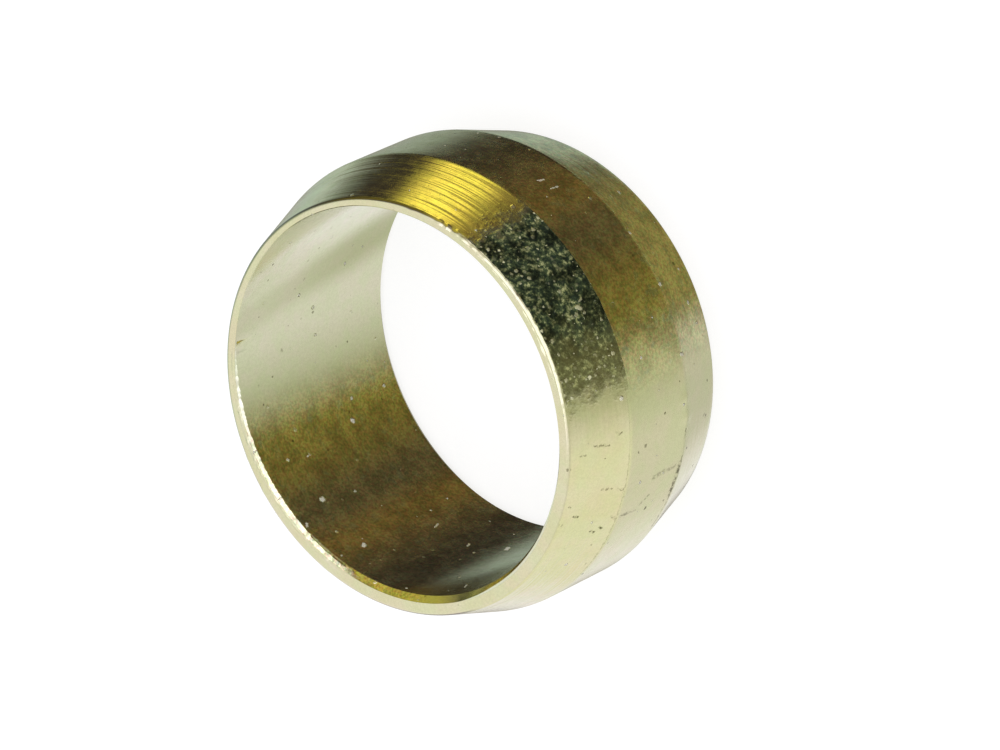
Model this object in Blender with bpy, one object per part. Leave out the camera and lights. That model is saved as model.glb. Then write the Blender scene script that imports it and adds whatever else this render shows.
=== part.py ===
# Compression olive: the brass ring that a compression fitting's nut squeezes onto a pipe.
# It is turned from bar as one piece: a plain bore, a cylindrical land round the middle, and a
# conical flank on each side that runs down to a narrow end face.
# Lengths are in metres. The ring stands on its end face, with its bore along +Z, and the origin
# is the centre of the lower end face.

import math

import bmesh
import bpy
from mathutils import Vector

# The pipe that the olive slides over
PIPE_DIAMETER = 0.0150
PIPE_CLEARANCE = 0.0002  # on the diameter, so that the olive slides on by hand

# The ring's wall, measured outwards from the bore
LAND_WALL = 0.00145
END_WALL = 0.00065

# Lengths along the bore
LAND_LENGTH = 0.0034
FLANK_LENGTH = 0.0028

# Edges
MOUTH_DEPTH = 0.00022  # the chamfer at each end of the bore, along the bore
MOUTH_WIDTH = 0.00017  # the same chamfer, across the end face
CREST_RADIUS = 0.0004  # where a flank meets the land
RIM_RADIUS = 0.00008  # where a flank meets its end face

# Facets
TURN_STEPS = 96
CREST_STEPS = 3
RIM_STEPS = 4

# Brass, bright from the lathe
BRASS_COLOUR = (0.74, 0.68, 0.38, 1.0)
BRASS_ROUGHNESS = 0.3
SHARP_ANGLE = math.radians(30)

bore_radius = (PIPE_DIAMETER + PIPE_CLEARANCE) / 2
end_radius = bore_radius + END_WALL
land_radius = bore_radius + LAND_WALL
length = 2 * FLANK_LENGTH + LAND_LENGTH


def rounded(before, corner, after, radius, steps):
    """The points of the arc that rounds a corner of the outline between two of its neighbours."""
    back = (before - corner).normalized()
    ahead = (after - corner).normalized()
    half_angle = back.angle(ahead) / 2
    centre = corner + (back + ahead).normalized() * (radius / math.sin(half_angle))
    start = (corner + back * (radius / math.tan(half_angle)) - centre).normalized()
    end = (corner + ahead * (radius / math.tan(half_angle)) - centre).normalized()
    return [centre + radius * start.slerp(end, step / steps) for step in range(steps + 1)]


def lower_outline():
    """The section's lower half as (radius, height), from the bore round the end face to the land."""
    bore = Vector((bore_radius, MOUTH_DEPTH))
    mouth = Vector((bore_radius + MOUTH_WIDTH, 0))
    rim = Vector((end_radius, 0))
    crest = Vector((land_radius, FLANK_LENGTH))
    middle = Vector((land_radius, length / 2))
    return [
        bore,
        mouth,
        *rounded(mouth, rim, crest, RIM_RADIUS, RIM_STEPS),
        *rounded(rim, crest, middle, CREST_RADIUS, CREST_STEPS),
    ]


def section():
    """The whole section, whose upper half mirrors the lower one about the middle of the land."""
    lower = lower_outline()
    upper = [Vector((point.x, length - point.y)) for point in reversed(lower)]
    return lower + upper


def turned_mesh(name, outline):
    """A closed ring: the outline turned once round Z."""
    form = bmesh.new()
    corners = [form.verts.new((point.x, 0, point.y)) for point in outline]
    edges = [form.edges.new(pair) for pair in zip(corners, corners[1:] + corners[:1])]
    bmesh.ops.spin(
        form,
        geom=corners + edges,
        cent=(0, 0, 0),
        axis=(0, 0, 1),
        angle=math.tau,
        steps=TURN_STEPS,
        use_merge=True,
    )
    bmesh.ops.recalc_face_normals(form, faces=form.faces)
    mesh = bpy.data.meshes.new(name)
    form.to_mesh(mesh)
    form.free()
    mesh.shade_smooth()
    mesh.set_sharp_from_angle(angle=SHARP_ANGLE)
    return mesh


def brass():
    material = bpy.data.materials.new("turned_brass")
    material.use_nodes = True
    shader = material.node_tree.nodes["Principled BSDF"]
    shader.inputs["Base Color"].default_value = BRASS_COLOUR
    shader.inputs["Metallic"].default_value = 1.0
    shader.inputs["Roughness"].default_value = BRASS_ROUGHNESS
    return material


def clear_scene():
    for item in list(bpy.data.objects):
        bpy.data.objects.remove(item, do_unlink=True)


def main():
    clear_scene()
    olive = bpy.data.objects.new("olive", turned_mesh("olive", section()))
    olive.data.materials.append(brass())
    bpy.context.scene.collection.objects.link(olive)


main()
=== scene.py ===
import math

import bpy
from mathutils import Matrix, Vector, noise


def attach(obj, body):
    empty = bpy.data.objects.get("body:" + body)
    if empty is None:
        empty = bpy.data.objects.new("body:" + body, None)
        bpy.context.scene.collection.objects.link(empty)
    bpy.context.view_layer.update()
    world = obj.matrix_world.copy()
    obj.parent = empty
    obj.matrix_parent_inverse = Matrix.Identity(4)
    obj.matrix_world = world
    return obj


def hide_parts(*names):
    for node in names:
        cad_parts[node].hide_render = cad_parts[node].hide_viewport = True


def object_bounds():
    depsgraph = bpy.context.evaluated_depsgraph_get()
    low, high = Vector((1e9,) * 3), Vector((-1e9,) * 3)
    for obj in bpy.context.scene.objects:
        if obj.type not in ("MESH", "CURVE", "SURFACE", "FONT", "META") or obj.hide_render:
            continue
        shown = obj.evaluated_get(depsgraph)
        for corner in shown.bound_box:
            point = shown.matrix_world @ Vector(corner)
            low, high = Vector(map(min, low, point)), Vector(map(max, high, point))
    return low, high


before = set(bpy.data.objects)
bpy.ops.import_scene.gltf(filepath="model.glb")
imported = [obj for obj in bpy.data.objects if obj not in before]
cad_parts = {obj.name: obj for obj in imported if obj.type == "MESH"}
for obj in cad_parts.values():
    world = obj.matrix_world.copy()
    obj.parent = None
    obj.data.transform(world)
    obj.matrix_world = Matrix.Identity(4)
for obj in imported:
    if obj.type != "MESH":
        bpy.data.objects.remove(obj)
cadLow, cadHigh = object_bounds()
mm = 0.001
hair = 0.001 * mm        # points closer than this lie level
print("frame loaded")

# A place on the ring is (turn, height): degrees round Z from -Y, anticlockwise from above,
# and millimetres above the lower end face.


# ring
ring = dict(
    boreRadius=7.68 * mm,
    mouthRadius=7.81 * mm,      # outer edge of the chamfer at the upper end of the bore
    mouthSlope=1.24,            # how deep that chamfer is for its width
    thinTurns=(-86, -50), thinSoft=14, thinBy=0.1 * mm,    # turns where it is narrower
    lowerMouthRadius=7.93 * mm, lowerMouthExtra=0.15 * mm,   # the lower one is wider and deeper
    upperRim=8.16 * mm, lowerRim=8.25 * mm,   # radius where a flank meets its end face
    flankLength=2.8 * mm,
    rimRound=0.13 * mm, crestRound=0.09 * mm,
    boreShift=0.11 * mm, boreShiftTurn=104,   # the bore was drilled a little off centre
    rimShift=0.12 * mm, rimShiftTurn=-125,    # so was the upper flank
    rimOval=0.1 * mm,                         # and its rim is that much longer along Y
    turnSteps=640,
    boreCuts=11, mouthCuts=4, upperFlankCuts=50, landCuts=11, lowerFlankCuts=9, faceCuts=7,
    toolMarks=0.0016 * mm,      # how far the tool wandered,
    toolFree=0.4 * mm,          # further than this from each end
    toolSeed=4,
)
length = cadHigh.z - cadLow.z
landRadius = (cadHigh.x - cadLow.x) / 2
flankTop = length - ring["flankLength"]
mouthDepth = ring["mouthSlope"] * (ring["mouthRadius"] - ring["boreRadius"] + ring["boreShift"])
lowerMouthDepth = mouthDepth + ring["lowerMouthExtra"]


def deselect():
    if bpy.context.object and bpy.context.object.mode != "OBJECT":
        bpy.ops.object.mode_set(mode="OBJECT")
    bpy.ops.object.select_all(action="DESELECT")


def pick(thing, kind, test):
    # selects the vertices or edges whose middle passes the test
    bpy.ops.object.mode_set(mode="OBJECT")
    mesh = thing.data
    for group in (mesh.vertices, mesh.edges, mesh.polygons):
        group.foreach_set("select", [False] * len(group))
    for item in getattr(mesh, kind):
        corners = [item.index] if kind == "vertices" else item.vertices
        middle = sum((mesh.vertices[c].co for c in corners), Vector()) / len(corners)
        item.select = test(middle)
    bpy.ops.object.mode_set(mode="EDIT")
    bpy.ops.mesh.select_mode(type="VERT" if kind == "vertices" else "EDGE")


def weighAll(thing, weigh):
    return [weigh(vertex.co) for vertex in thing.data.vertices]


def push(thing, direction, strength, weights):
    # moves each vertex by the strength times its weight, from 0 to 1
    bpy.ops.object.mode_set(mode="OBJECT")
    group = thing.vertex_groups.new(name="push")
    for index, weight in enumerate(weights):
        if weight > 0.001:
            group.add([index], min(weight, 1), "REPLACE")
    displace = thing.modifiers.new("push", "DISPLACE")
    displace.direction = direction
    displace.mid_level = 0
    displace.strength = strength
    displace.vertex_group = group.name
    bpy.ops.object.modifier_apply(modifier=displace.name)
    thing.vertex_groups.clear()


def turnOf(point):
    return math.degrees(math.atan2(point.x, -point.y))


def radiusOf(point):
    return math.hypot(point.x, point.y)


def between(value, start, end, soft):
    # 1 from start to end, and down to 0 over the soft width outside them
    return max(0, min(1, 1 - (start - value) / soft, 1 - (value - end) / soft))


def drawSection():
    # one side's section on the XZ plane, from the bore round both end faces and the land
    corners = [
        (ring["boreRadius"], lowerMouthDepth),
        (ring["lowerMouthRadius"], 0),
        (ring["lowerRim"], 0),
        (landRadius, ring["flankLength"]),
        (landRadius, flankTop),
        (ring["upperRim"], length),
        (ring["mouthRadius"], length),
        (ring["boreRadius"], length - mouthDepth),
    ]
    bpy.ops.mesh.primitive_circle_add(vertices=len(corners), radius=landRadius, fill_type="NGON")
    section = bpy.context.object
    for vertex, (r, z) in zip(section.data.vertices, corners):
        vertex.co = (r, 0, z)
    rims = (ring["upperRim"], ring["lowerRim"])
    pick(section, "vertices", lambda p: min(abs(p.x - rim) for rim in rims) < 10 * hair)
    bpy.ops.mesh.bevel(affect="VERTICES", offset=ring["rimRound"], segments=5)
    pick(section, "vertices", lambda p: abs(p.x - landRadius) < 10 * hair)
    bpy.ops.mesh.bevel(affect="VERTICES", offset=ring["crestRound"], segments=3)
    bpy.ops.mesh.select_all(action="SELECT")
    bpy.ops.mesh.delete(type="ONLY_FACE")
    return section


def cutSection(section):
    # more points where the finish needs them, then the small wander of the lathe tool
    onBore = lambda p: p.x < ring["boreRadius"] + 10 * hair
    onFace = lambda p: min(p.z, length - p.z) < hair
    onMouth = lambda p: not onBore(p) and not onFace(p) and p.x < ring["lowerMouthRadius"]
    onLand = lambda p: p.x > landRadius - hair
    onFlank = lambda p: ring["lowerRim"] + 0.1 * mm < p.x < landRadius - 0.3 * mm
    stretches = [
        (onBore, ring["boreCuts"]),
        (onMouth, ring["mouthCuts"]),
        (lambda p: onFlank(p) and p.z > length / 2, ring["upperFlankCuts"]),
        (lambda p: onFlank(p) and p.z < length / 2, ring["lowerFlankCuts"]),
        (onLand, ring["landCuts"]),
        (onFace, ring["faceCuts"]),
    ]
    for test, cuts in stretches:
        pick(section, "edges", test)
        bpy.ops.mesh.subdivide(number_cuts=cuts)
    pick(section, "vertices", lambda p: ring["toolFree"] < p.z < length - ring["toolFree"])
    bpy.ops.transform.vertex_random(offset=ring["toolMarks"], seed=ring["toolSeed"])


def turnRing():
    bpy.ops.object.mode_set(mode="EDIT")
    bpy.ops.mesh.select_all(action="SELECT")
    bpy.ops.mesh.spin(steps=ring["turnSteps"], angle=math.tau, center=(0, 0, 0), axis=(0, 0, 1))
    bpy.ops.mesh.select_all(action="SELECT")
    bpy.ops.mesh.remove_doubles(threshold=2 * hair)
    bpy.ops.mesh.normals_make_consistent(inside=False)
    bpy.ops.object.mode_set(mode="OBJECT")


def mouthShare(p):
    # 1 where the chamfer meets the bore, 0 at its outer edge and beyond
    edge = ring["mouthRadius"] if p.z > length / 2 else ring["lowerMouthRadius"]
    return max(0, (edge - radiusOf(p)) / (edge - ring["boreRadius"]))


def shiftCuts(thing):
    # the bore and the upper flank lie a little off the land's axis, so the rim's width varies
    boreSide, rimSide = math.radians(ring["boreShiftTurn"]), math.radians(ring["rimShiftTurn"])

    def mouthWeight(p):
        # the chamfer gets shallower where it gets narrower
        depth = mouthDepth if p.z > length / 2 else lowerMouthDepth
        if min(p.z, length - p.z) > depth + 10 * hair:
            return 0
        return mouthShare(p) * (1 + math.cos(math.radians(turnOf(p)) - boreSide)) / 2

    def thinWeight(p):
        if p.z < length / 2 or radiusOf(p) > ring["mouthRadius"] + 3 * hair:
            return 0
        return (1 - mouthShare(p)) * between(turnOf(p), *ring["thinTurns"], ring["thinSoft"])

    rise = 2 * ring["mouthSlope"] * ring["boreShift"]
    mouths = weighAll(thing, mouthWeight)
    high = weighAll(thing, lambda p: p.z > length / 2)
    shares = weighAll(thing, mouthShare)
    thins = weighAll(thing, thinWeight)
    push(thing, "Z", rise, [weight * up for weight, up in zip(mouths, high)])
    push(thing, "Z", -rise, [weight * (1 - up) for weight, up in zip(mouths, high)])
    push(thing, "X", math.sin(boreSide) * ring["boreShift"], shares)
    push(thing, "Y", -math.cos(boreSide) * ring["boreShift"], shares)
    push(thing, "X", ring["thinBy"], thins)

    faceEdge = ring["upperRim"] - ring["rimRound"]
    faceWidth = faceEdge - ring["mouthRadius"]

    def onUpper(p):
        # 1 at the upper rim, 0 at the crest and at the mouth
        if p.z > length - hair:
            return max(0, min(1, (radiusOf(p) - ring["mouthRadius"]) / faceWidth))
        return max(0, (p.z - flankTop) / ring["flankLength"]) if radiusOf(p) > faceEdge else 0

    uppers = weighAll(thing, onUpper)
    fronts = weighAll(thing, lambda p: max(0, -p.y) / radiusOf(p))
    backs = weighAll(thing, lambda p: max(0, p.y) / radiusOf(p))
    push(thing, "X", math.sin(rimSide) * ring["rimShift"], uppers)
    push(thing, "Y", -math.cos(rimSide) * ring["rimShift"], uppers)
    push(thing, "Y", -ring["rimOval"], [weight * front for weight, front in zip(uppers, fronts)])
    push(thing, "Y", ring["rimOval"], [weight * back for weight, back in zip(uppers, backs)])


deselect()
olive = drawSection()
olive.name = olive.data.name = "olive_turned"
cutSection(olive)
turnRing()
shiftCuts(olive)
print("ring turned:", len(olive.data.polygons), "faces")


# wear
wear = dict(
    pitTurns=(-7, 30), pitHeights=(6.35, 8.85),    # corroded patch on the upper flank
    pitSoft=4, pitRagged=7, pitLobes=1.3, pitStep=0.008 * mm, pitSeed=11,
    lipTurns=(154, 212), lipSoft=12, lipCrest=7.93 * mm, lipWide=0.27 * mm, lipSteep=0.04 * mm,
    lipHeight=0.06 * mm, lipReach=0.09 * mm, lipFall=1.6,
    beadTurns=(-12, 38), beadSoft=10, beadHeight=0.045 * mm, beadsPerDegree=0.75, beadContrast=1.4,
    dullTurns=(-8, 29), dullSoft=10, dullFrom=7.97 * mm, dullWide=0.13 * mm, dullDepth=0.055 * mm,
    nickDepth=0.05 * mm,
)
# turn, height, size in mm, and depth from -1 for a dent to 1 for a raised spot
nicks = [
    (52, 9.0, 0.16, -0.5), (38, 9.0, 0.14, -0.7), (35, 9.0, 0.12, -0.6), (31, 9.0, 0.16, -0.8),
    (27, 9.0, 0.10, -0.5), (12, 9.0, 0.14, 0.6), (4, 9.0, 0.12, 0.4), (-9, 9.0, 0.10, 0.3),
    (176, 8.9, 0.12, 0.5), (186, 8.9, 0.16, 0.4), (197, 8.9, 0.12, -0.5), (213, 8.9, 0.14, 0.4),
    (-47, 6.3, 0.22, 0.8), (2, 6.2, 0.18, 0.6), (-34, 2.7, 0.25, 0.7), (-29, 2.8, 0.2, 0.6),
    (22, 8.1, 0.22, 0.5), (5, 7.2, 0.25, -0.4), (15, 2.8, 0.16, -0.5),
]


def pointAt(turn, radius, z):
    return Vector((radius * math.sin(math.radians(turn)), -radius * math.cos(math.radians(turn)), z))


def outside(turn, height):
    # the point on the outer surface at that place
    z = height * mm
    if z > flankTop:
        radius = landRadius - (z - flankTop) * (landRadius - ring["upperRim"]) / ring["flankLength"]
    elif z < ring["flankLength"]:
        radius = ring["lowerRim"] + z * (landRadius - ring["lowerRim"]) / ring["flankLength"]
    else:
        radius = landRadius
    return pointAt(turn, radius, z)


def boreRadiusAt(turn):
    return ring["boreRadius"] + ring["boreShift"] * math.cos(math.radians(turn - ring["boreShiftTurn"]))


def pitUpperFlank(thing):
    start, end = wear["pitTurns"]
    low, high = wear["pitHeights"]

    def pitted(p):
        if radiusOf(p) < ring["upperRim"] - 20 * hair or not low * mm < p.z < high * mm:
            return False
        ragged = noise.noise(p / mm * wear["pitLobes"]) * wear["pitRagged"]
        return between(turnOf(p) + ragged, start, end, wear["pitSoft"]) > 0.5

    pick(thing, "vertices", pitted)
    bpy.ops.transform.vertex_random(offset=wear["pitStep"], seed=wear["pitSeed"], normal=0.7)


def bead(turn):
    # small knocks along an edge, from 0 to 1
    wave = noise.noise(Vector((turn * wear["beadsPerDegree"], 0.3, 0.7)))
    return max(0, min(1, 0.5 + wear["beadContrast"] * wave))


def rollLip(thing):
    # the drill left a thin lip that leans into the bore along part of the mouth
    def along(p):
        turn = turnOf(p) % 360
        return between(turn, *wear["lipTurns"], wear["lipSoft"]) * (0.55 + 0.45 * bead(turn * 1.4))

    def onLip(p):
        radius = radiusOf(p)
        onBore = radius < boreRadiusAt(turnOf(p)) + 4 * hair
        onChamfer = p.z > length - mouthDepth / 2 and radius < wear["lipCrest"] + wear["lipSteep"]
        return onChamfer and not onBore

    def lean(p):
        fromCrest = (wear["lipCrest"] - radiusOf(p)) / (wear["lipCrest"] - ring["mouthRadius"])
        return along(p) * max(0, min(1, fromCrest)) if onLip(p) else 0

    def lift(p):
        if not onLip(p):
            return 0
        # highest at its crest, with a steep outer side and a round inner one
        inwards = wear["lipCrest"] - radiusOf(p) + wear["lipReach"] * lean(p)
        if inwards > 0:
            rise = 1 - wear["lipFall"] * (inwards / wear["lipWide"]) ** 2
        else:
            rise = 1 + inwards / wear["lipSteep"]
        return along(p) * (length - p.z + wear["lipHeight"] * rise) / mouthDepth

    leans, lifts = weighAll(thing, lean), weighAll(thing, lift)
    push(thing, "Y", -wear["lipReach"], leans)
    push(thing, "Z", mouthDepth, lifts)


def knockRim(thing):
    # part of the rim is dulled to a narrow slope, and small knocks run along it
    def dulled(p):
        out = (radiusOf(p) - wear["dullFrom"]) / wear["dullWide"]
        if p.z < length - ring["rimRound"] or out < 0:
            return 0
        along = between(turnOf(p), *wear["dullTurns"], wear["dullSoft"])
        return min(1, out) * along * (0.4 + 0.6 * bead(turnOf(p)))

    def knocked(p):
        onRound = length - ring["rimRound"] < p.z < length - hair
        if not onRound or radiusOf(p) < ring["mouthRadius"]:
            return 0
        return bead(turnOf(p)) * between(turnOf(p), *wear["beadTurns"], wear["beadSoft"])

    dulls, knocks = weighAll(thing, dulled), weighAll(thing, knocked)
    push(thing, "NORMAL", wear["beadHeight"], knocks)
    push(thing, "Z", -wear["dullDepth"], dulls)


def nick(thing):
    for sign in (1, -1):
        spots = [
            (outside(turn, height), size * mm, abs(depth))
            for turn, height, size, depth in nicks if depth * sign > 0
        ]

        def weigh(p):
            near = [
                math.exp(-((p - spot).length / size) ** 2) * depth
                for spot, size, depth in spots
                if max(abs(p.z - spot.z), abs(p.x - spot.x)) < 3 * size
            ]
            return max(near, default=0)

        push(thing, "NORMAL", sign * wear["nickDepth"], weighAll(thing, weigh))


pitUpperFlank(olive)
rollLip(olive)
knockRim(olive)
nick(olive)
bpy.ops.object.shade_smooth_by_angle(angle=math.radians(20))
print("wear added")


# node helpers
class Tree:
    # adds nodes to one node tree and joins them, so that a material reads from top to bottom
    def __init__(self, tree):
        self.tree = tree

    def add(self, kind, inputs=(), **settings):
        node = self.tree.nodes.new("ShaderNode" + kind)
        for name, value in settings.items():
            setattr(node, name, value)
        pairs = inputs.items() if isinstance(inputs, dict) else enumerate(inputs)
        for key, value in pairs:
            if isinstance(value, bpy.types.NodeSocket):
                self.tree.links.new(value, node.inputs[key])
            else:
                node.inputs[key].default_value = value
        return node.outputs[0]

    def math(self, operation, *inputs, clamp=False):
        return self.add("Math", inputs, operation=operation, use_clamp=clamp)

    def ramp(self, factor, stops):
        # stops are (position, colour or grey value)
        node = self.tree.nodes.new("ShaderNodeValToRGB")
        self.tree.links.new(factor, node.inputs[0])
        elements = node.color_ramp.elements
        while len(elements) > 1:
            elements.remove(elements[-1])
        for number, (position, colour) in enumerate(stops):
            element = elements[0] if number == 0 else elements.new(position)
            element.position = position
            if not isinstance(colour, tuple):
                colour = (colour, colour, colour)
            element.color = (*colour, 1)
        return node.outputs[0]

    def range(self, value, low, high, toLow=0.0, toHigh=1.0, smooth=True):
        kind = "SMOOTHSTEP" if smooth else "LINEAR"
        return self.add("MapRange", (value, low, high, toLow, toHigh), interpolation_type=kind)

    def mix(self, factor, first, second, blend="MIX"):
        node = self.tree.nodes.new("ShaderNodeMix")
        node.data_type = "RGBA"
        node.blend_type = blend
        # inputs 6 and 7 are the two colours
        for number, value in ((0, factor), (6, first), (7, second)):
            socket = node.inputs[number]
            if isinstance(value, bpy.types.NodeSocket):
                self.tree.links.new(value, socket)
            else:
                socket.default_value = (*value, 1) if isinstance(value, tuple) else value
        return node.outputs[2]

    def angleAndSlope(self, direction):
        # degrees round Z from -Y, and degrees above the horizon, of a direction
        split = self.add("SeparateXYZ", [direction]).node
        x, y, z = split.outputs
        turn = self.math("DEGREES", self.math("ARCTAN2", x, self.math("MULTIPLY", y, -1)))
        slope = self.math("DEGREES", self.math("ARCSINE", z))
        return turn, slope


# brass
# Distances in these nodes are in millimetres.
brass = dict(
    pale=(0.75, 0.73, 0.5), warm=(0.74, 0.7, 0.46), land=(0.72, 0.71, 0.46), bore=(0.74, 0.745, 0.56),
    blotch=0.55,                                # soft patches of pale and warm
    pinkTint=(1.02, 0.99, 1.02), greenTint=(0.97, 1.0, 0.95), tint=0.9,
    # colours of the tarnish and painted shade on the darkly reflecting turns
    redBrown=(0.86, 0.62, 0.42), olive=(0.66, 0.74, 0.4), greyGreen=(0.62, 0.7, 0.54),
    roughness=0.19, roughnessSpread=0.08, mottle=2.4,
    coarse=(0.06, 4.0), coarseDepth=0.03 * mm,   # grooves per mm round the ring and across it
    fine=(0.13, 9.0), fineDepth=0.004 * mm,
    grain=6.5, grainDepth=0.0025 * mm,
    landShare=0.12, boreShare=0.12, lowerShare=0.3,   # depth of the grooves there
    speckle=9.0, speckleLight=(0.97, 1.025), speckleDark=(0.79, 1.22),
    cloud=1.1, cloudDark=(0.8, 1.2),
    landRoughness=0.05,
)
# tarnish together with painted shade: the outer and bore turns are where the reflections are dark; the
# slanting band in the bore and the rim's edge line are painted shade
stainsAndPaintedShade = dict(
    outer=(-26, -9, 54, 66), bore=(158, 176, 238, 250),   # turns: start, full, still full, end
    share=0.75,
    edge=(40, 50, 258, 268), paintedEdgeShade=(0.3, 0.28, 0.34),   # painted shade: a dark line low on the upper rim's round
    edgeDepths=(0.02, 0.05), edgeRadii=(7.9, 8.0),
    paintedShadeBand=(0.66, 0.68, 0.54),                  # painted reflected shade, a darker band that runs across the bore at a slant
    shadeBandTurn=123, shadeBandLean=1.6, shadeBandWide=(9, 1.5),
    shadeBandSpread=(1, 7, 1.5, 0.9), shadeBandShare=(1.5, 8, 1.0, 0.4),   # from one height to another
)
patch = dict(
    turns=(-22, -14, 27, 35), ragged=16, raggedLobes=1.6,
    # the light blobs are partly the oxide's own colour and partly painted highlight
    dark=(0.03, 0.05, 0.035), middle=(0.11, 0.155, 0.075), light=(0.8, 0.84, 0.42), blobs=5.5,
    blobSteps=(0.42, 0.54, 0.71), shade=1.4, shadeSpread=(0.4, 1.5),
    brown=(0.36, 0.33, 0.12), brownTurns=(2, -12),    # its colour towards one end
    metal=0.45,                               # how much of it still shines as metal
    pits=6.0, pitDepth=0.028 * mm,
)
# spacing and size in mm, the share of the cells that have one, and its colour
dust = dict(spacing=1.1, size=0.045, share=0.45, colour=(1.0, 0.98, 0.88))
# painted highlight: bright spots in the corroded patch that stand in for glints off its pits
paintedGlint = dict(spacing=0.24, size=0.044, share=0.5, colour=(1.0, 0.98, 0.62))
pinhole = dict(spacing=0.9, size=0.045, share=0.25, colour=(0.2, 0.19, 0.13))
marking = dict(
    wobble=0.12, wobbles=9,          # how far the edges of specks and scratches stray, in mm
    gaps=7, gapSpread=(0.1, 1),      # dark scratches are broken
    glintClusters=1.9, glintClusterSpread=(0.4, 1),    # painted glints in the patch lie in groups
    core=0.5, darkCore=0.2,          # share of a scratch's width that is full
    height=0.05 * mm, roughness=0.6,
)
# surface, turn and height of one end, of the other, half width in mm, and how much lighter or darker
scratches = [
    ("bore", (195.5, 7.05), (195.6, 7.1), 0.14, 1), ("bore", (214.2, 7.15), (214.6, 7.25), 0.12, 1),
    ("bore", (178.5, 3.4), (178.6, 3.4), 0.13, 1), ("bore", (200.3, 8.6), (200.9, 8.7), 0.08, 1),
    ("bore", (243.3, 3.05), (243.7, 3.2), 0.13, 1), ("bore", (219.2, 3.4), (219.8, 3.7), 0.06, 0.7),
    ("bore", (172.5, 2.95), (172.6, 3.0), 0.06, 0.8), ("bore", (131.4, 2.75), (131.9, 2.7), 0.06, 0.8),
    ("bore", (182.3, 6.45), (182.4, 6.5), 0.05, 0.8), ("bore", (232.3, 3.6), (232.8, 3.8), 0.05, 0.7),
    ("bore", (254.0, 7.4), (255.2, 7.7), 0.05, 0.8), ("bore", (132.9, 5.75), (133.0, 5.7), 0.05, -0.6),
    ("outer", (32.2, 4.0), (32.5, 4.4), 0.04, 0.8), ("outer", (35.7, 4.2), (36.1, 4.5), 0.04, 0.7),
    ("outer", (2.2, 7.0), (2.8, 7.1), 0.11, 0.7), ("outer", (-0.6, 2.6), (-0.5, 2.7), 0.07, 0.8),
    ("outer", (0.9, 7.3), (1.4, 7.25), 0.07, 0.45), ("outer", (3.9, 6.9), (4.2, 6.8), 0.06, 0.5),
    ("outer", (-18.2, 2.65), (-18.0, 2.8), 0.08, 0.7), ("outer", (13.5, 2.65), (13.6, 2.7), 0.06, 0.7),
    ("outer", (-31.8, 7.85), (-32.4, 7.2), 0.06, -0.7), ("outer", (-30.0, 6.65), (-30.3, 6.75), 0.06, -0.8),
    ("outer", (-36.5, 5.8), (-36.9, 5.75), 0.06, -0.8), ("outer", (-45.5, 6.35), (-45.2, 6.6), 0.07, -0.8),
    ("outer", (-44.3, 7.35), (-44.6, 6.9), 0.07, -0.7), ("outer", (-53.2, 6.55), (-54.1, 6.3), 0.08, -1),
    ("outer", (-53.9, 6.1), (-54.1, 5.1), 0.08, -0.7), ("outer", (-53.0, 4.95), (-51.3, 4.5), 0.08, -0.7),
    ("outer", (-46.2, 4.5), (-45.8, 3.2), 0.14, -0.5), ("outer", (-48.0, 8.65), (-47.6, 8.7), 0.06, -0.8),
    ("outer", (-51.0, 8.35), (-51.4, 8.15), 0.07, -0.9), ("outer", (-56.0, 6.95), (-56.7, 6.8), 0.07, -1),
    ("outer", (-57.0, 7.3), (-57.5, 7.1), 0.08, -1), ("outer", (-53.5, 8.8), (-53.2, 8.8), 0.05, -0.7),
    ("outer", (-62.0, 6.9), (-62.3, 6.85), 0.05, -0.7), ("outer", (-70.0, 6.5), (-69.5, 6.5), 0.06, -0.8),
    ("outer", (-75.0, 6.3), (-36.0, 6.3), 0.05, -0.3), ("outer", (-20.0, 4.4), (-21.5, 5.6), 0.05, -0.15),
    ("outer", (-66.0, 2.98), (-44.0, 2.82), 0.07, -0.8), ("outer", (-54.5, 2.96), (-46.0, 2.86), 0.18, -1),
    ("outer", (-38.9, 2.85), (-36.8, 2.8), 0.06, -0.7), ("outer", (30.0, 2.8), (76.0, 2.9), 0.06, -0.8),
    ("outer", (-39.2, 0.7), (-38.2, 0.95), 0.11, -0.9), ("outer", (-33.6, 8.2), (-33.4, 8.5), 0.04, -0.5),
]
# low and high values of the noise textures, for a soft and a firmer change between two looks
softNoise = (0.3, 0.7)
firmNoise = (0.35, 0.65)


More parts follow.
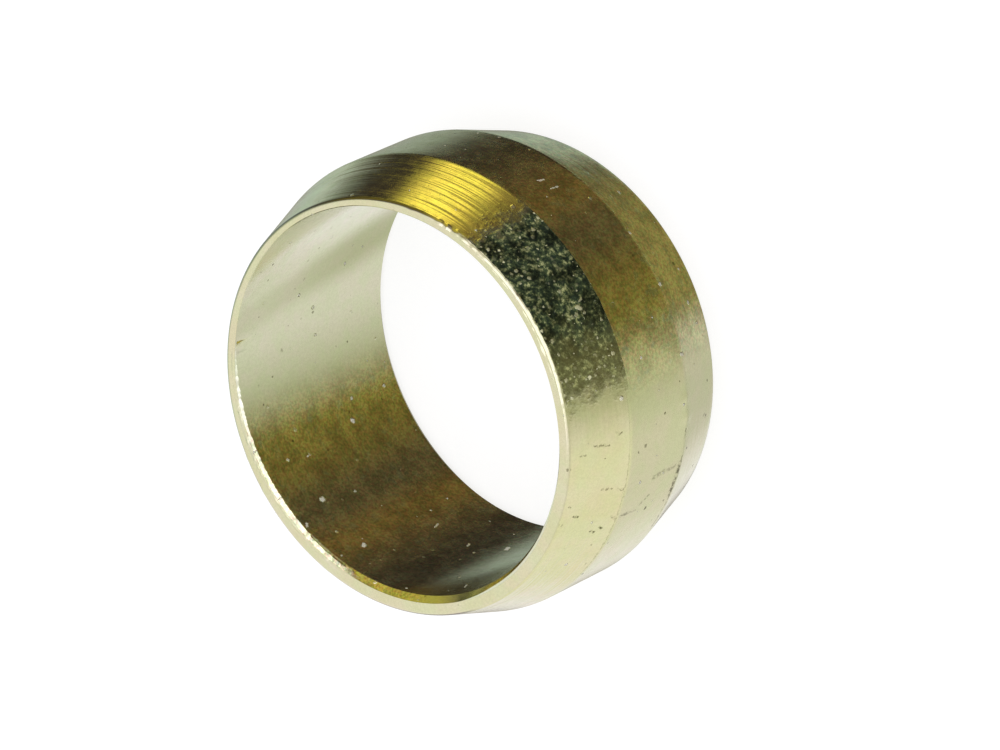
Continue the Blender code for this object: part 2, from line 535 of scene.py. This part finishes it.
def makeBrass():
    material = bpy.data.materials.new("brassTurned")
    material.use_nodes = True
    tree = Tree(material.node_tree)
    nodes, links = material.node_tree.nodes, material.node_tree.links
    shader = nodes["Principled BSDF"]

    coordinates = nodes.new("ShaderNodeTexCoord").outputs["Object"]
    place = tree.add("Mapping", {"Vector": coordinates, "Scale": (1000,) * 3})
    x, y, z = tree.add("SeparateXYZ", [place]).node.outputs
    squares = tree.math("MULTIPLY", x, x), tree.math("MULTIPLY", y, y)
    radius = tree.math("SQRT", tree.math("ADD", *squares))
    turn = tree.math("DEGREES", tree.math("ARCTAN2", x, tree.math("MULTIPLY", y, -1)))
    along = tree.math("SUBTRACT", z, radius)    # runs down the flanks and in across the end faces
    # the surface laid out flat from turn -100, in mm round a ring of 8 mm radius and up it
    seam = 360 + 100
    laidTurn = tree.math("MODULO", tree.math("ADD", turn, seam), 360)
    mmPerDegree = math.radians(8)
    onUpperFace = tree.math("GREATER_THAN", z, length / mm - 0.1)
    acrossFace = tree.math("MULTIPLY", tree.math("SUBTRACT", ring["upperRim"] / mm, radius), onUpperFace)
    flat = tree.add("CombineXYZ", [
        tree.math("MULTIPLY", laidTurn, mmPerDegree), tree.math("ADD", z, acrossFace),
    ])
    laidOut = lambda at: Vector(((at[0] + seam) % 360 * mmPerDegree, at[1], 0))

    def streaks(rate, detail):
        # marks that run round the ring, long one way and fine the other
        vector = tree.add("CombineXYZ", [
            tree.math("MULTIPLY", x, rate[0]), tree.math("MULTIPLY", y, rate[0]),
            tree.math("MULTIPLY", along, rate[1]),
        ])
        return tree.add("TexNoise", {"Vector": vector, "Scale": 1.0, "Detail": detail, "Roughness": 0.5})

    def clouds(scale, detail):
        return tree.add("TexNoise", {"Vector": place, "Scale": scale, "Detail": detail, "Roughness": 0.65})

    def span(value, stops):
        # 1 between the inner two of four stops, 0 outside the outer two
        first, full, fullEnd, last = stops
        return tree.math("MULTIPLY", tree.range(value, first, full), tree.range(value, last, fullEnd))

    # specks and scratches get uneven edges
    wobble = clouds(marking["wobbles"], 1).node.outputs["Color"]
    wobble = tree.add("VectorMath", [wobble, (0.5, 0.5, 0.5)], operation="SUBTRACT")
    reach = (marking["wobble"], marking["wobble"], 0)
    wobbled = tree.add("VectorMath", [wobble, reach, flat], operation="MULTIPLY_ADD")

    def specks(kind):
        # spots of several sizes, one in some of the cells of a loose grid
        settings = {"Vector": wobbled, "Scale": 1 / kind["spacing"]}
        cells = tree.add("TexVoronoi", settings, voronoi_dimensions="2D")
        red, green, blue = tree.add("SeparateColor", [cells.node.outputs["Color"]]).node.outputs
        chosen = tree.math("GREATER_THAN", red, 1 - kind["share"])
        size = tree.math("MULTIPLY_ADD", tree.math("MULTIPLY", green, green), 1.8, 0.5)
        size = tree.math("MULTIPLY", size, kind["size"] / kind["spacing"])
        near = tree.range(tree.math("DIVIDE", cells, size), 1, 0.5)
        strength = tree.math("MULTIPLY", chosen, tree.range(blue, 0.2, 1, 0.15, 1, smooth=False))
        return tree.math("MULTIPLY", near, strength)

    def scratch(start, end, width, core):
        # how near the surface is to the line between two places on it
        start, run = laidOut(start), laidOut(end) - laidOut(start)
        offset = tree.add("VectorMath", [wobbled, start], operation="SUBTRACT")
        dot = tree.add("VectorMath", [offset, run / run.length_squared], operation="DOT_PRODUCT").node
        share = tree.math("MULTIPLY", dot.outputs["Value"], 1.0, clamp=True)
        nearest = tree.add("VectorMath", {0: run, "Scale": share}, operation="SCALE")
        gap = tree.add("VectorMath", [offset, nearest], operation="DISTANCE").node.outputs["Value"]
        return tree.range(gap, width, width * core)

    boreEdge = (ring["boreRadius"] + ring["boreShift"]) / mm + 0.012
    inBore = tree.math("LESS_THAN", radius, boreEdge)
    outOfBore = tree.math("SUBTRACT", 1, inBore)
    onLand = tree.math("GREATER_THAN", radius, landRadius / mm - 0.03)
    offUpperFace = tree.math("SUBTRACT", 1, onUpperFace)
    onUpperFlank = tree.math("MULTIPLY", tree.math("GREATER_THAN", z, flankTop / mm - 0.05), outOfBore)
    onUpperFlank = tree.math("MULTIPLY", onUpperFlank, offUpperFace)
    onLowerFlank = tree.math("LESS_THAN", z, ring["flankLength"] / mm - 0.1)
    onLowerFlank = tree.math("MULTIPLY", onLowerFlank, outOfBore)

    blotch = clouds(brass["blotch"], 2)
    grain = clouds(brass["grain"], 3)
    mottle = clouds(brass["mottle"], 3)

    # corroded patch
    ragged = tree.math("SUBTRACT", clouds(patch["raggedLobes"], 3), 0.5)
    ragged = tree.math("MULTIPLY", ragged, patch["ragged"])
    inPatch = tree.math("MULTIPLY", span(tree.math("ADD", turn, ragged), patch["turns"]), onUpperFlank)
    pits = clouds(patch["pits"], 2)

    # tarnish together with painted shade: warmer, darker mottling on the turns of the outside and the bore
    # whose reflections are dark
    backTurn = tree.math("MODULO", tree.math("ADD", turn, 360), 360)
    onOutside = tree.math("MULTIPLY", outOfBore, offUpperFace)
    outerTarnishAndShade = tree.math("MULTIPLY", span(turn, stainsAndPaintedShade["outer"]), onOutside)
    outerTarnishAndShade = tree.math("MULTIPLY", outerTarnishAndShade, tree.math("SUBTRACT", 1, onUpperFlank))
    boreTarnishAndShade = tree.math("MULTIPLY", span(backTurn, stainsAndPaintedShade["bore"]), inBore)
    tarnishAndShade = tree.math("ADD", outerTarnishAndShade, boreTarnishAndShade)
    tarnishAndShadeColour = tree.mix(tree.range(grain, 0.4, 0.6), brass["redBrown"], brass["olive"])
    tarnishAndShadeColour = tree.mix(tree.range(mottle, 0.54, 0.7), tarnishAndShadeColour, brass["greyGreen"])
    colour = tree.mix(tree.range(blotch, *firmNoise), brass["pale"], brass["warm"])
    colour = tree.mix(tree.math("MAXIMUM", onLand, onLowerFlank), colour, brass["land"])
    colour = tree.mix(inBore, colour, brass["bore"])
    tint = tree.range(clouds(brass["tint"], 4), 0.38, 0.62)
    colour = tree.mix(1.0, colour, tree.mix(tint, brass["greenTint"], brass["pinkTint"]), "MULTIPLY")
    colour = tree.mix(tree.math("MULTIPLY", tarnishAndShade, stainsAndPaintedShade["share"]), colour, tarnishAndShadeColour)
    # painted reflected shade: a darker band across the bore at a slant, standing in for the ring's
    # reflected shadow
    shadeBandAway = tree.math("MULTIPLY_ADD", z, stainsAndPaintedShade["shadeBandLean"], stainsAndPaintedShade["shadeBandTurn"])
    shadeBandAway = tree.math("ABSOLUTE", tree.math("SUBTRACT", turn, shadeBandAway))
    shadeBandAway = tree.math("DIVIDE", shadeBandAway, tree.range(z, *stainsAndPaintedShade["shadeBandSpread"]))
    # painted shade: a thin dark line along the upper rim's round, over most turns
    top, bottom = (length / mm - depth for depth in stainsAndPaintedShade["edgeDepths"])
    onRound = tree.math("GREATER_THAN", z, (length - ring["rimRound"]) / mm)
    onRound = tree.math("MULTIPLY", onRound, tree.range(z, top, bottom))
    onRound = tree.math("MULTIPLY", onRound, tree.range(radius, *stainsAndPaintedShade["edgeRadii"]))
    paintedEdgeShade = tree.mix(1.0, colour, stainsAndPaintedShade["paintedEdgeShade"], "MULTIPLY")
    colour = tree.mix(tree.math("MULTIPLY", span(backTurn, stainsAndPaintedShade["edge"]), onRound), colour, paintedEdgeShade)
    inShadeBand = tree.math("MULTIPLY", tree.range(shadeBandAway, *stainsAndPaintedShade["shadeBandWide"]), inBore)
    inShadeBand = tree.math("MULTIPLY", inShadeBand, tree.range(z, *stainsAndPaintedShade["shadeBandShare"]))
    colour = tree.mix(inShadeBand, colour, tree.mix(1.0, colour, stainsAndPaintedShade["paintedShadeBand"], "MULTIPLY"))
    blobLooks = (patch["dark"], patch["middle"], patch["light"])
    blobs = tree.ramp(clouds(patch["blobs"], 4), list(zip(patch["blobSteps"], blobLooks)))
    blobShade = tree.range(clouds(patch["shade"], 2), *firmNoise, *patch["shadeSpread"])
    blobs = tree.mix(1.0, blobs, blobShade, "MULTIPLY")
    browner = tree.range(tree.math("ADD", turn, ragged), *patch["brownTurns"])
    blobs = tree.mix(browner, blobs, tree.mix(0.5, blobs, patch["brown"]))
    colour = tree.mix(inPatch, colour, blobs)

    # uneven grain, stronger where the tarnish and painted shade lie
    speckle = clouds(brass["speckle"], 1)
    calm = tree.range(speckle, *softNoise, *brass["speckleLight"])
    strong = tree.range(speckle, *softNoise, *brass["speckleDark"])
    cloud = tree.range(clouds(brass["cloud"], 3), *firmNoise, *brass["cloudDark"])
    strong = tree.math("MULTIPLY", strong, cloud)
    strength = tree.mix(tarnishAndShade, calm, strong)
    colour = tree.mix(1.0, colour, strength, "MULTIPLY")

    # marks, dust, pinholes and the patch's painted glints
    onSurface = {"bore": inBore, "outer": outOfBore}
    glintClusters = tree.range(clouds(marking["glintClusters"], 1), 0.38, 0.58, *marking["glintClusterSpread"])
    glintClusters = tree.math("MULTIPLY", inPatch, glintClusters)
    # bright spots: dust and light scratches in their own colour, and the painted glints in the corroded
    # patch
    spots = tree.math("MAXIMUM", specks(dust), tree.math("MULTIPLY", specks(paintedGlint), glintClusters))
    marks = specks(pinhole)
    broken = tree.range(clouds(marking["gaps"], 3), 0.42, 0.56, *marking["gapSpread"])
    for surface, start, end, width, lighter in scratches:
        core = marking["core"] if lighter > 0 else marking["darkCore"]
        line = tree.math("MULTIPLY", scratch(start, end, width, core), onSurface[surface])
        line = tree.math("MULTIPLY", line, abs(lighter))
        if lighter > 0:
            spots = tree.math("MAXIMUM", spots, line)
        else:
            marks = tree.math("MAXIMUM", marks, tree.math("MULTIPLY", line, broken))
    colour = tree.mix(marks, colour, tree.mix(1.0, colour, pinhole["colour"], "MULTIPLY"))
    colour = tree.mix(spots, colour, tree.mix(inPatch, dust["colour"], paintedGlint["colour"]))
    links.new(colour, shader.inputs["Base Color"])
    dullness = tree.math("MULTIPLY", tree.math("MULTIPLY", inPatch, inPatch), 1 - patch["metal"])
    metal = tree.math("SUBTRACT", 1, tree.math("MAXIMUM", spots, dullness))
    links.new(metal, shader.inputs["Metallic"])

    # heights in metres, added up for one bump
    share = tree.math("SUBTRACT", 1, tree.math("MULTIPLY", inBore, 1 - brass["boreShare"]))
    share = tree.math("SUBTRACT", share, tree.math("MULTIPLY", onLand, 1 - brass["landShare"]))
    share = tree.math("SUBTRACT", share, tree.math("MULTIPLY", onLowerFlank, 1 - brass["lowerShare"]))
    grooves = tree.math(
        "ADD",
        tree.math("MULTIPLY", streaks(brass["coarse"], 2), brass["coarseDepth"]),
        tree.math("MULTIPLY", streaks(brass["fine"], 1), brass["fineDepth"]),
    )
    height = tree.math("MULTIPLY", grooves, share)
    height = tree.math("ADD", height, tree.math("MULTIPLY", grain, brass["grainDepth"]))
    pitting = tree.math("MULTIPLY", tree.math("MULTIPLY", pits, inPatch), patch["pitDepth"])
    height = tree.math("ADD", height, pitting)
    height = tree.math("ADD", height, tree.math("MULTIPLY", spots, marking["height"]))
    bump = tree.add("Bump", {"Height": height, "Strength": 1.0, "Distance": 1.0})
    links.new(bump, shader.inputs["Normal"])

    spread = brass["roughnessSpread"] / 2
    rough = tree.range(mottle, *softNoise, brass["roughness"] - spread, brass["roughness"] + spread)
    rough = tree.math("ADD", rough, tree.math("MULTIPLY", onLand, brass["landRoughness"]))
    rough = tree.math("MAXIMUM", rough, tree.math("MULTIPLY", spots, marking["roughness"]))
    links.new(rough, shader.inputs["Roughness"])
    return material


olive.data.materials.append(makeBrass())
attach(olive, "root")
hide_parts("olive")
print("brass applied")


# studio
# The light comes from the directions (turn, slope), in degrees, with nothing near the ring.
studio = dict(
    white=(0.98, 0.96, 1.0), cream=(0.84, 0.83, 0.79), dusk=(0.6, 0.62, 0.48), olive=(0.23, 0.205, 0.053),
    amber=(0.16, 0.13, 0.04), umber=(0.1, 0.082, 0.044), ember=(0.165, 0.113, 0.036),
    brown=(0.09, 0.07, 0.04), shade=(0.038, 0.032, 0.026), window=(0.36, 0.42, 0.37),
    overhead=(0.95, 0.95, 0.93), overheadFrom=22, overheadFull=40,
    below=(0.29, 0.265, 0.105), belowFrom=-53, belowFull=-84,
    floorGlow=0.8, floorColour=(0.3, 0.3, 0.3), floorSize=2,
)
# soft panels, each over the one before: colour, turn, half width and its full share, slope, half height
panels = [
    ((0.96, 0.96, 0.83), -90, 57, 0.5, -14, 30),
    ((0.66, 0.66, 0.6), -89, 52, 0.5, -68, 18),
    ((0.38, 0.46, 0.4), 152, 40, 0.2, -62, 14),
    ((0.59, 0.71, 0.65), 164, 31, 0.66, -18, 26),
    ((0.52, 0.45, 0.09), 90, 44, 0.5, 6, 22),
    ((1.75, 1.45, 0.25), 81, 22, 0.25, -22, 9),
]
# a round light overhead, and a dim one straight behind that draws a thin line round the outline:
# colour, turn, slope, and how far off its middle it starts and is full
rounds = [
    ((1.6, 1.58, 1.8), 12, 70, 38, 25),
    ((0.28, 0.26, 0.23), 180, -47, 16, 7),
]
# the light's colour at each turn, near the horizon and below it
horizon = [
    (-180, "white"), (-130, "white"), (-110, "cream"), (-66, "cream"), (-40, "dusk"), (-12, "olive"),
    (12, "amber"), (32, "umber"), (45, "umber"), (60, "ember"), (82, "brown"), (98, "shade"),
    (120, "shade"), (139, "window"), (156, "window"), (180, "white"),
]


def lightStudio():
    world = bpy.data.worlds.new("softStudio")
    bpy.context.scene.world = world
    world.use_nodes = True
    background = world.node_tree.nodes["Background"]
    tree = Tree(world.node_tree)
    direction = world.node_tree.nodes.new("ShaderNodeTexCoord").outputs["Generated"]
    turn, slope = tree.angleAndSlope(direction)
    stops = [((at + 180) / 360, studio[name]) for at, name in horizon]
    lit = tree.ramp(tree.range(turn, -180, 180, smooth=False), stops)
    lit = tree.mix(tree.range(slope, studio["belowFrom"], studio["belowFull"]), lit, studio["below"])
    for panel, atTurn, wide, core, atSlope, tall in panels:
        across = tree.math("ABSOLUTE", tree.math("SUBTRACT", turn, atTurn))
        upright = tree.math("ABSOLUTE", tree.math("SUBTRACT", slope, atSlope))
        within = tree.math(
            "MULTIPLY", tree.range(across, wide, wide * core), tree.range(upright, tall, tall * 0.5)
        )
        lit = tree.mix(within, lit, panel)
    overhead = tree.range(slope, studio["overheadFrom"], studio["overheadFull"])
    lit = tree.mix(overhead, lit, studio["overhead"])
    for light, atTurn, atSlope, start, full in rounds:
        middle = pointAt(atTurn, math.cos(math.radians(atSlope)), math.sin(math.radians(atSlope)))
        towards = tree.add("VectorMath", [direction, middle], operation="DOT_PRODUCT")
        offAxis = tree.math("DEGREES", tree.math("ARCCOSINE", towards.node.outputs["Value"]))
        lit = tree.mix(tree.range(offAxis, start, full), lit, light)
    isCamera = tree.add("LightPath")
    colour = tree.mix(isCamera, lit, (1.0, 1.0, 1.0))
    world.node_tree.links.new(colour, background.inputs["Color"])


def layFloor():
    bpy.ops.mesh.primitive_plane_add(size=studio["floorSize"])
    floor = bpy.context.object
    floor.name = "floor"
    floor.visible_glossy = False
    material = bpy.data.materials.new("floorPaper")
    material.use_nodes = True
    tree = Tree(material.node_tree)
    nodes = material.node_tree.nodes
    nodes.remove(nodes["Principled BSDF"])
    paper = tree.add("BsdfDiffuse", {"Color": (*studio["floorColour"], 1)})
    isCamera = tree.add("LightPath")
    glow = tree.add("Emission", {"Strength": tree.math("MULTIPLY", isCamera, studio["floorGlow"])})
    both = tree.add("AddShader", [paper, glow])
    material.node_tree.links.new(both, nodes["Material Output"].inputs["Surface"])
    floor.data.materials.append(material)


deselect()
lightStudio()
layFloor()
print("studio lit")


# camera
# It is rolled, so that the standing ring leans as it does in the photograph.
view = dict(
    elevation=47.2, roll=-115.1,          # degrees
    distance=262.5 * mm, lens=252,
    centreRight=3.96 * mm, centreUp=1.155 * mm,   # picture's middle, from the upper mouth's
)
bpy.ops.object.camera_add()
camera = bpy.context.object
tilt = Matrix.Rotation(math.radians(90 - view["elevation"]), 3, "X")
turnedCamera = tilt @ Matrix.Rotation(math.radians(view["roll"]), 3, "Z")
offset = Vector((view["centreRight"], view["centreUp"], view["distance"]))
cameraAt = Vector((0, 0, length)) + turnedCamera @ offset
camera.matrix_world = Matrix.Translation(cameraAt) @ turnedCamera.to_4x4()
camera.data.lens = view["lens"]
camera.data.clip_start = 1 * mm
bpy.context.scene.camera = camera
bpy.context.scene.view_settings.view_transform = "Standard"
print("camera placed")
